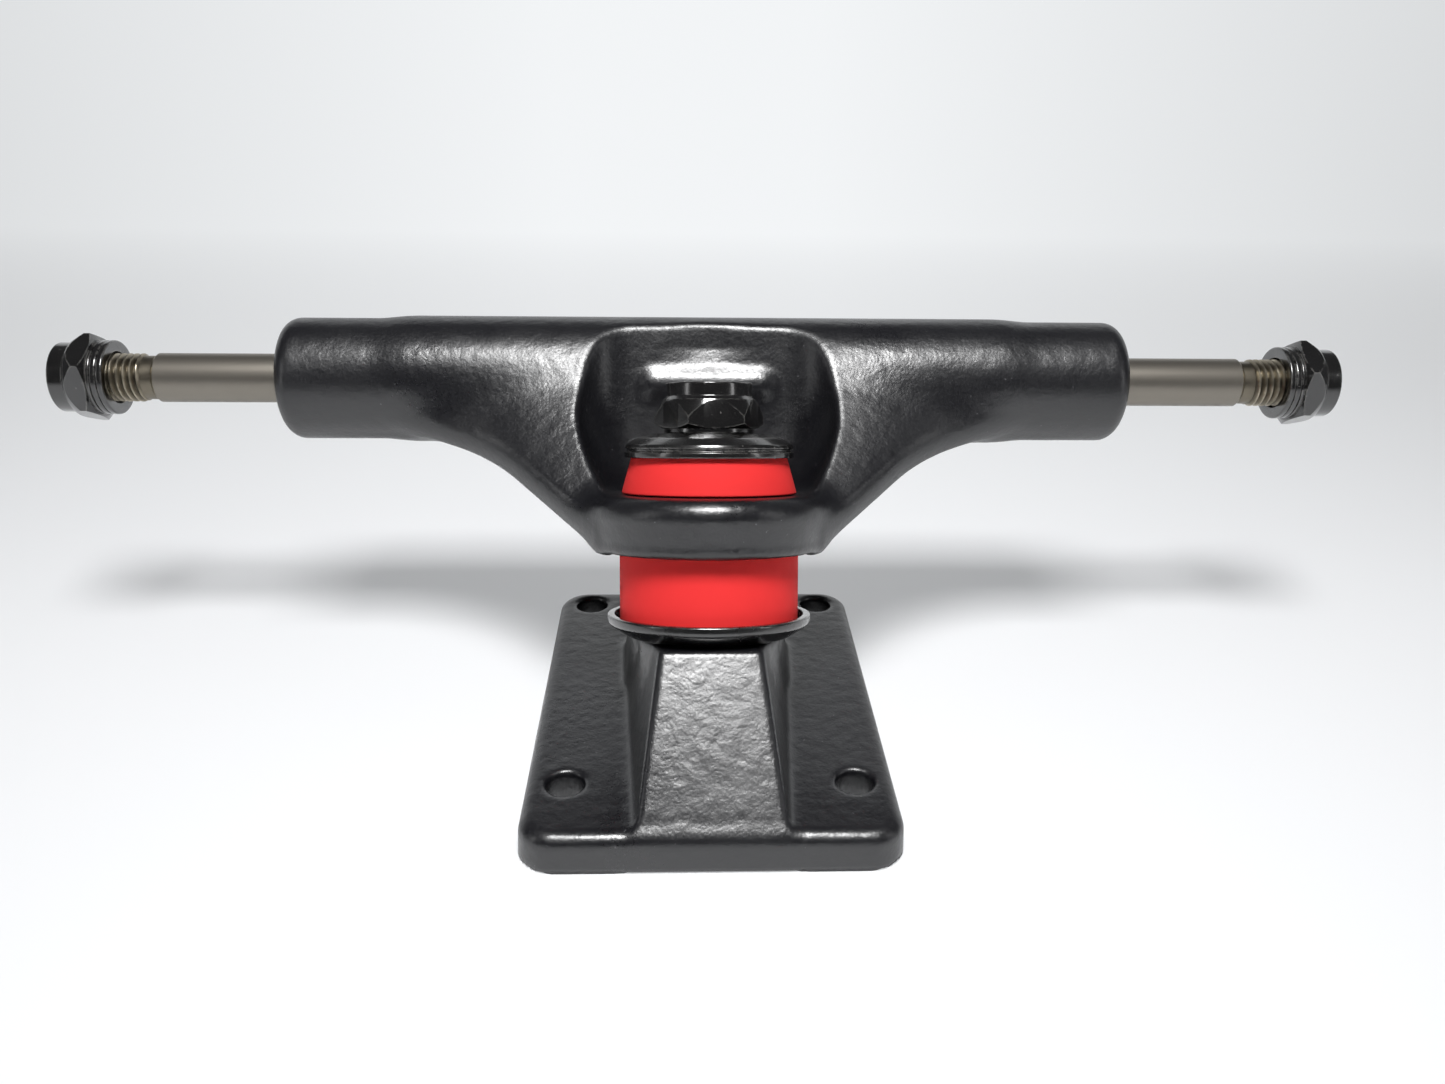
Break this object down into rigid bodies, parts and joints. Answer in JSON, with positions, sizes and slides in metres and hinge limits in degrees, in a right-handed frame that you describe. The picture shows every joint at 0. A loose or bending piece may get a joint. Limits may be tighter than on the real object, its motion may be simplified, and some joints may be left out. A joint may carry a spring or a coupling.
{
  "type": "skateboard truck",
  "caption": "Skateboard truck: cast baseplate and hanger on a sprung kingpin, with a wheel axle, lock nuts and speed washers.",
  "frame": {"origin": "centre of the four deck bolt holes, on the baseplate's flat mounting face", "axes": "+X along the axle, +Y from the kingpin side to the pivot side, +Z away from the deck, square to the mounting face"},
  "size_m": [0.2096, 0.0727, 0.0595],
  "materials": {
    "black_casting": "semi-gloss powder coat",
    "black_steel": "gloss black plating",
    "washer_steel": "dark oiled steel",
    "bare_steel": "ground bare steel",
    "red_urethane": "gloss moulded urethane",
    "pivot_urethane": "matte moulded urethane",
    "locking_nylon": "matte nylon"
  },
  "bodies": {
    "truck_base": {"baseplate": "black_casting", "pivot_cup": "pivot_urethane", "kingpin": "black_steel", "lower_cup_washer": "black_steel", "lower_bushing": "red_urethane", "upper_bushing": "red_urethane", "upper_cup_washer": "black_steel"},
    "hanger_group": {"hanger": "black_casting", "axle": "bare_steel"},
    "kingpin_lock": {"kingpin_nut_insert": "locking_nylon"},
    "kingpin_nut_group": {"kingpin_nut": "black_steel"},
    "left_axle_lock": {"left_axle_nut_insert": "locking_nylon"},
    "left_axle_nut_group": {"left_axle_nut": "black_steel"},
    "left_washer_inner": {"left_inner_speed_washer": "washer_steel"},
    "left_washer_outer": {"left_outer_speed_washer": "washer_steel"},
    "right_axle_lock": {"right_axle_nut_insert": "locking_nylon"},
    "right_axle_nut_group": {"right_axle_nut": "black_steel"},
    "right_washer_inner": {"right_inner_speed_washer": "washer_steel"},
    "right_washer_outer": {"right_outer_speed_washer": "washer_steel"}
  },
  "joints": [
    {"name": "hanger_steer", "type": "hinge", "parent": "truck_base", "child": "hanger_group", "pos_m": [0, -0.00215, 0.03577], "axis": [0, 0.809, -0.5878], "range_deg": [-14, 14], "stiffness_Nm_per_rad": 10, "deforming": ["lower_bushing", "upper_bushing"]},
    {"name": "kingpin_nut_travel", "type": "slide", "parent": "truck_base", "child": "kingpin_lock", "axis": [0, 0.3387, 0.9409], "range_m": [0, 0.00318]},
    {"name": "kingpin_nut_turn", "type": "hinge", "parent": "kingpin_lock", "child": "kingpin_nut_group", "pos_m": [0, 0.00321, 0.05066], "axis": [0, 0.3387, 0.9409], "range_deg": [0, 1080]},
    {"name": "left_axle_nut_travel", "type": "slide", "parent": "hanger_group", "child": "left_axle_lock", "axis": [-1, 0, 0], "range_m": [0, 0.00318]},
    {"name": "left_axle_nut_turn", "type": "hinge", "parent": "left_axle_lock", "child": "left_axle_nut_group", "pos_m": [-0.101, 0.0235, 0.0497], "axis": [-1, 0, 0], "range_deg": [0, 1080]},
    {"name": "left_washer_slide", "type": "slide", "parent": "hanger_group", "child": "left_washer_inner", "axis": [1, 0, 0], "range_m": [0, 0.0274]},
    {"name": "left_washer_spin", "type": "hinge", "parent": "left_washer_inner", "child": "left_washer_outer", "pos_m": [-0.0975, 0.0235, 0.0497], "axis": [-1, 0, 0], "continuous": true},
    {"name": "right_axle_nut_travel", "type": "slide", "parent": "hanger_group", "child": "right_axle_lock", "axis": [1, 0, 0], "range_m": [0, 0.00318]},
    {"name": "right_axle_nut_turn", "type": "hinge", "parent": "right_axle_lock", "child": "right_axle_nut_group", "pos_m": [0.101, 0.0235, 0.0497], "axis": [1, 0, 0], "range_deg": [0, 1080]},
    {"name": "right_washer_slide", "type": "slide", "parent": "hanger_group", "child": "right_washer_inner", "axis": [-1, 0, 0], "range_m": [0, 0.0274]},
    {"name": "right_washer_spin", "type": "hinge", "parent": "right_washer_inner", "child": "right_washer_outer", "pos_m": [0.0975, 0.0235, 0.0497], "axis": [1, 0, 0], "continuous": true}
  ],
  "couplings": [
    {"joint": "kingpin_nut_travel", "follows": "kingpin_nut_turn", "m_per_rad": 0.00016844},
    {"joint": "left_axle_nut_travel", "follows": "left_axle_nut_turn", "m_per_rad": 0.00016844},
    {"joint": "right_axle_nut_travel", "follows": "right_axle_nut_turn", "m_per_rad": 0.00016844}
  ]
}
